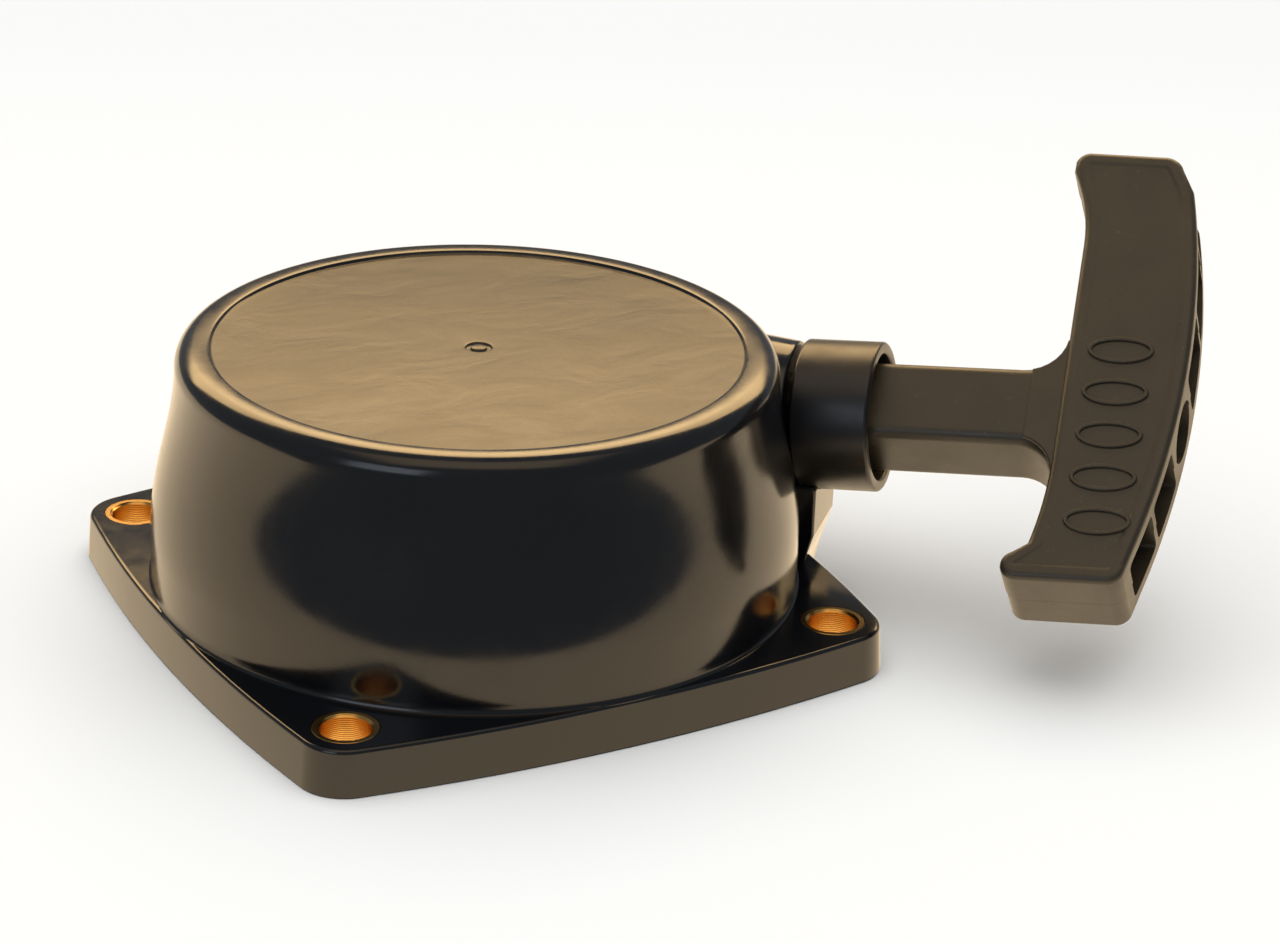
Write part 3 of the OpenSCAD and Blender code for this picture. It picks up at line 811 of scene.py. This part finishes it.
def reel():
    """The moulded reel: two flanges and a groove, a hub with ribs, and bosses for the pawl pins."""
    low, high = REEL_Z
    groove_low, groove_high = GROOVE_Z_EDGES
    inner_r, floor_r = GROOVE_FLOOR
    top_r, top_z = HUB_TOP
    outline = rounded([(REEL_BUSH_R, low, 0), (22.6, low), (22.6, low + 0.6),
                       (30.4, low + 0.6), (30.4, low),
                       (REEL_R, low, 0.7), (REEL_R, groove_low, 0.7), (floor_r, groove_low, 0.5),
                       (floor_r, groove_high, 0.5), (REEL_R, groove_high, 0.7),
                       (REEL_R, high, 0.9), (inner_r, high), (inner_r, groove_low, 0.6),
                       (HUB_R, groove_low, 0.6), (HUB_R, high, 0.2), (top_r, high, 0.15),
                       (top_r, top_z, 0.3), (REEL_BUSH_R, top_z, 0.2)], 0.25, 3)
    made = lathe("reel_moulded", outline)
    ribs = [slab("rib", [(HUB_R - 0.3, -0.9), (inner_r + 0.3, -0.9),
                         (inner_r + 0.3, 0.9), (HUB_R - 0.3, 0.9)],
                 low + 1, high - 0.5, 0.2, about_z(60 * k)) for k in range(6)]
    bosses = [lathe("boss", [(0, low + 0.5), (3, low + 0.5), (3, low + 8.2),
                             (2.7, low + 8.5), (0, low + 8.5)],
                    Matrix.Translation(Vector((x, 0, 0)) * MM), 64) for x in (-PIVOT_R, PIVOT_R)]
    combine(made, "UNION", *ribs, *bosses)
    rope_hole = lathe("rope_hole", [(0, inner_r - 1), (ROPE_R + 0.2, inner_r - 1),
                                    (ROPE_R + 0.2, floor_r + 1), (0, floor_r + 1)],
                      about_z(90) @ Matrix.Translation((0, 0, GROOVE_Z * MM))
                      @ Matrix.Rotation(QUARTER, 4, "Y"), 48)
    notch = slab("notch", [(top_r - 1, -1), (top_r + 2, -1), (top_r + 2, 1), (top_r - 1, 1)], 31.5, 41, 0.1)
    combine(made, "DIFFERENCE", rope_hole, notch,
            *(upright("pin_bore", PIN_R, low - 1, low + 7, x, 0, 48) for x in (-PIVOT_R, PIVOT_R)))
    stands_for(made, "reel", "reel_nylon", [CHARCOAL], "reel")


# ------------------------------------------------------------------ pawls, friction plate and centre screw

def nub_place(t):
    """Where a pawl's nub stands, seen from the friction plate, at part t of the swing."""
    swung = Matrix.Rotation(math.radians(PAWL_SWING * t), 2) @ Vector(NUB)
    return Matrix.Rotation(math.radians(-PLATE_LAG * t), 2) @ (Vector((PIVOT_R, 0)) + swung)


def nub_slot(turn):
    """A slot that follows the nub, with round ends."""
    w = NUB_R + SLOT_PLAY
    path = [nub_place(i / 12) for i in range(13)]
    heads = [math.degrees(math.atan2(b.y - a.y, b.x - a.x)) for a, b in zip(path, path[1:])]
    heads.append(heads[-1])
    near = [arc(p.x, p.y, w, head - 90, head - 90, 1)[0] for p, head in zip(path, heads)]
    far = [arc(p.x, p.y, w, head + 90, head + 90, 1)[0] for p, head in zip(path, heads)]
    outline = near + arc(path[-1].x, path[-1].y, w, heads[-1] - 90, heads[-1] + 90, 12)[1:-1]
    outline += far[::-1] + arc(path[0].x, path[0].y, w, heads[0] + 90, heads[0] + 270, 12)[1:-1]
    return loft("slot", [[(x, y, z) for x, y in outline] for z in (PLATE_Z - 1, PLATE_Z + PLATE_T + 1)],
                about_z(turn))


def friction_plate():
    top = PLATE_Z + PLATE_T
    disc = [(0, PLATE_Z), (PLATE_R - 0.3, PLATE_Z), (PLATE_R - 0.08, PLATE_Z + 0.1), (PLATE_R, PLATE_Z + 0.3),
            (PLATE_R, top - 0.08), (PLATE_R - 0.08, top), (0, top)]
    holes = [upright("hole", 3.4, PLATE_Z - 1, top + 1, 13.5 * math.cos(a), 13.5 * math.sin(a))
             for a in (math.radians(60), math.radians(240))]
    made = combine(lathe("friction_plate_stamped", disc), "DIFFERENCE", nub_slot(0), nub_slot(180), *holes,
                   upright("bore", SHOULDER_R + 0.05, PLATE_Z - 1, top + 1))
    stands_for(made, "friction_plate", "plated_steel", [ZINC], "friction_plate")


def pawls():
    """Two hooked pawls that swing on pins in the reel, each with a nub down into the plate's slot."""
    low, high = PAWL_Z
    for letter, turn in (("a", 0), ("b", 180)):
        place = about_z(turn) @ Matrix.Translation(Vector((PIVOT_R, 0, 0)) * MM)
        outline = rounded([(-2.9, -0.9, 0), (-3.3, -9, 3), (-4.6, -16.5, 3), (-4.3, -19.4, 0.4),
                           (-1.3, -19.8, 0.4),
                           (0.9, -16, 3), (1.9, -9, 3), (3, -0.8, 0)], 0.5)
        arm = slab(f"pawl_{letter}_sintered", outline, low, high, 0.25, place)
        eye = lathe("eye", rounded([(0, low, 0), (PAWL_EYE_R, low), (PAWL_EYE_R, high), (0, high, 0)],
                                   0.25, 3), place, 96)
        nub = lathe("nub", [(0, PLATE_Z + 0.3), (NUB_R - 0.25, PLATE_Z + 0.3), (NUB_R, PLATE_Z + 0.55),
                            (NUB_R, high - 0.7), (0, high - 0.7)],
                    place @ Matrix.Translation(Vector(NUB + (0,)) * MM), 48)
        hole = lathe("hole", [(0, low - 1), (PAWL_HOLE_R, low - 1), (PAWL_HOLE_R, high + 1),
                              (0, high + 1)], place, 64)
        combine(arm, "UNION", eye, nub)
        combine(arm, "DIFFERENCE", hole)
        stands_for(arm, f"pawl_{letter}", "sintered_steel", [HARD_STEEL], f"pawl_{letter}")
        shank = [(0, low - 0.5), (PIN_R + 0.35, low - 0.5), (PIN_R + 0.6, low - 0.35),
                 (PIN_R + 0.6, low - 0.1), (PIN_R, low - 0.1), (PIN_R, REEL_Z[0] + 5.5),
                 (PIN_R - 0.3, REEL_Z[0] + 5.9), (0, REEL_Z[0] + 5.9)]
        pin = lathe(f"pawl_pin_{letter}_headed", shank, place, 64)
        stands_for(pin, "reel", "plated_steel", [ZINC], f"pawl_pin_{letter}")


def friction_spring():
    """A light coil spring with closed ends, between the plate and the reel."""
    turns = 3.5
    steps = round(turns * 48)
    low, high = COIL_Z
    path = []
    for i in range(steps + 1):
        t = i / steps
        a = math.tau * turns * t
        rise = max(0.0, min(1.0, (t - 0.12) / 0.76))
        path.append((COIL_R * math.cos(a), COIL_R * math.sin(a), low + (high - low) * rise))
    made = tube("friction_spring_coiled", path, WIRE_R, 10)
    stands_for(made, "reel", "spring_steel", [BLUED], "friction_spring")


def centre_screw():
    """A hexagon flange screw, head down, with its thread drawn as rings."""
    base, flange_z, seat, tip = SCREW_Z
    hexagon = arc(0, 0, SCREW_HEX_R, 0, 300, 5)
    made = loft("centre_screw_headed", [[(x, y, z) for x, y in hexagon] for z in (base, flange_z)])
    chamfer = lathe("chamfer", [(0, base), (SCREW_HEX_R - 0.9, base), (SCREW_HEX_R + 0.1, base + 0.55),
                                (SCREW_HEX_R + 0.1, flange_z + 0.1), (0, flange_z + 0.1)], steps=96)
    combine(made, "INTERSECT", chamfer)
    flange_line = [(0, flange_z - 0.2), (SCREW_HEX_R - 0.8, flange_z - 0.2),
                   (SCREW_FLANGE_R - 0.15, flange_z + 0.25),
                   (SCREW_FLANGE_R, flange_z + 0.4), (SCREW_FLANGE_R, seat), (SCREW_R, seat)]
    thread = []
    z = 13.0
    while z < tip - 1.4:
        thread += [(SCREW_R - 0.4, z), (SCREW_R, z + 0.38), (SCREW_R, z + 0.5), (SCREW_R - 0.4, z + 0.88)]
        z += 1.0
    end = [(SCREW_R - 0.4, z), (SCREW_R - 0.7, tip), (0, tip)]
    combine(made, "UNION", lathe("shank", flange_line + [(SCREW_R, 12.6)] + thread + end, steps=96))
    stands_for(made, "casing", "plated_steel", [ZINC], "centre_screw")


def shoulder_washer():
    low, step, high = SHOULDER_Z
    ring = rounded([(SHOULDER_BORE_R, low), (SHOULDER_FLANGE_R, low), (SHOULDER_FLANGE_R, step),
                    (SHOULDER_R, step, 0), (SHOULDER_R, high), (SHOULDER_BORE_R, high)], 0.25, 3)
    made = lathe("shoulder_washer_turned", ring, steps=128)
    stands_for(made, "casing", "plated_steel", [ZINC], "shoulder_washer")


def inner_nodes():
    """The pieces that keep their own shape and only take a finish."""
    finishes = {"post_insert": BRASS, "spring_case": ZINC, "recoil_spring": BLUED, "reel_bush": BRONZE}
    for node, finish in finishes.items():
        kept = frame["nodes"][node]
        kept.data.materials.clear()
        kept.data.materials.append(finish)


# ------------------------------------------------------------------ studio, in metres

PAPER_TURN = -26.7
PAPER_SIZE = (1.6, 1.2)
PAPER_EDGE = 0.086
PAPER_LIFT = 0.0001
MIDDLE_Z = 0.03

def floor():
    made = piece("floor", [(-3000, -3000, 0), (3000, -3000, 0), (3000, 3000, 0), (-3000, 3000, 0)],
                 [[0, 1, 2, 3]])
    paper, tree, _ = material("paper_white_matt")
    matt = add(tree, "BsdfPrincipled", {"Base Color": linear("#f6f5f2"), "Roughness": 0.9})
    # seen from below it is clear, so that the engine side shows
    from_below = add(tree, "NewGeometry", out="Backfacing")
    both = add(tree, "MixShader", {0: from_below, 1: matt, 2: add(tree, "BsdfTransparent")})
    add(tree, "OutputMaterial", {"Surface": both})
    made.data.materials.append(paper)
    made.visible_glossy = False


def facing(azimuth, elevation, distance, over):
    """A place at that angle and distance from a point over the origin, turned towards it."""
    az = math.radians(azimuth)
    el = math.radians(elevation)
    out = Vector((math.sin(az) * math.cos(el), -math.cos(az) * math.cos(el), math.sin(el)))
    return (Matrix.Translation(Vector((0, 0, over)) + out * distance)
            @ (-out).to_track_quat("-Z", "Y").to_matrix().to_4x4())


def softbox(name, place, size, colour, radiance, feather):
    """A rectangular light that fades towards its edges."""
    light = bpy.data.lights.new(name, "AREA")
    light.shape = "RECTANGLE"
    light.size, light.size_y = size
    light.color = linear(colour)[:3]
    light.energy = radiance * math.pi * size[0] * size[1]
    light.use_nodes = True
    tree = light.node_tree
    tree.nodes.clear()
    spot = add(tree, "NewGeometry", out="Parametric")
    from_middle = add(tree, "VectorMath", {0: add(tree, "VectorMath", {0: spot, 1: (0.5, 0.5, 0.0)},
                                                  {"operation": "SUBTRACT"})}, {"operation": "ABSOLUTE"})
    across = add(tree, "SeparateXYZ", {"Vector": from_middle}, out="X")
    along = add(tree, "SeparateXYZ", {"Vector": from_middle}, out="Y")
    edge = add(tree, "Math", {0: across, 1: along}, {"operation": "MAXIMUM"})
    fade = add(tree, "MapRange", {"Value": edge, "From Min": 0.5, "From Max": 0.5 - feather / 2},
               {"interpolation_type": "SMOOTHSTEP"})
    add(tree, "OutputLight", {"Surface": add(tree, "Emission", {"Strength": fade})})
    made = bpy.data.objects.new(name, light)
    bpy.context.collection.objects.link(made)
    made.matrix_world = place
    made.visible_camera = False
    return made


def studio():
    """A wide white light overhead, and warm paper and a cool window that only the gloss picks up."""
    world = bpy.data.worlds.new("studio")
    world.use_nodes = True
    world.node_tree.nodes["Background"].inputs[0].default_value = linear("#e4ecf4")
    world.node_tree.nodes["Background"].inputs[1].default_value = 0.25
    bpy.context.scene.world = world
    softbox("overhead", facing(0, 90, 1.7, MIDDLE_Z), (3.4, 3.4), "#ffffff", 1.7, 0.1).visible_glossy = False
    # the paper ends in a straight edge a little in front of the flange
    from_front = (about_z(PAPER_TURN) @ Matrix.Translation((0, PAPER_SIZE[1] / 2 - PAPER_EDGE, PAPER_LIFT))
                  @ Matrix.Rotation(math.pi, 4, "X"))
    cards = [
        softbox("paper_below", from_front, PAPER_SIZE, "#ffdfae", 1.4, 0.01),
        softbox("card_behind", facing(153, 0, 0.3, 0.315), (0.7, 0.3), "#f5cd90", 6.8, 0.1),
        softbox("window", facing(-60, 21, 1.3, MIDDLE_Z), (0.7, 0.7), "#e8f2ff", 1.5, 0.3),
        softbox("card_above", facing(-27, 75, 1.2, MIDDLE_Z), (1.6, 1.2), "#ffdcaa", 1.0, 0.6),
    ]
    for card in cards:
        card.visible_diffuse = False


def camera():
    """Stands to the front left and above, at arm's length, with a long lens."""
    data = bpy.data.cameras.new("camera")
    data.sensor_width = 36
    data.lens = 98.2
    data.shift_x = -0.0011
    data.shift_y = 0.0069
    made = bpy.data.objects.new("camera", data)
    bpy.context.collection.objects.link(made)
    made.matrix_world = (Matrix.Translation((-0.2080, -0.4135, 0.2257)) @ Matrix.Rotation(-0.5176, 4, "Z")
                         @ Matrix.Rotation(QUARTER - 0.416, 4, "X") @ Matrix.Rotation(0.0367, 4, "Z"))
    bpy.context.scene.camera = made


camera()
housing()
flange_bushes()
rope_guide()
pull_handle()
knot_washer()
rope_run()
rope_coil()
knots()
reel()
friction_plate()
pawls()
friction_spring()
centre_screw()
shoulder_washer()
inner_nodes()
floor()
studio()
bpy.context.scene.view_settings.view_transform = "Standard"
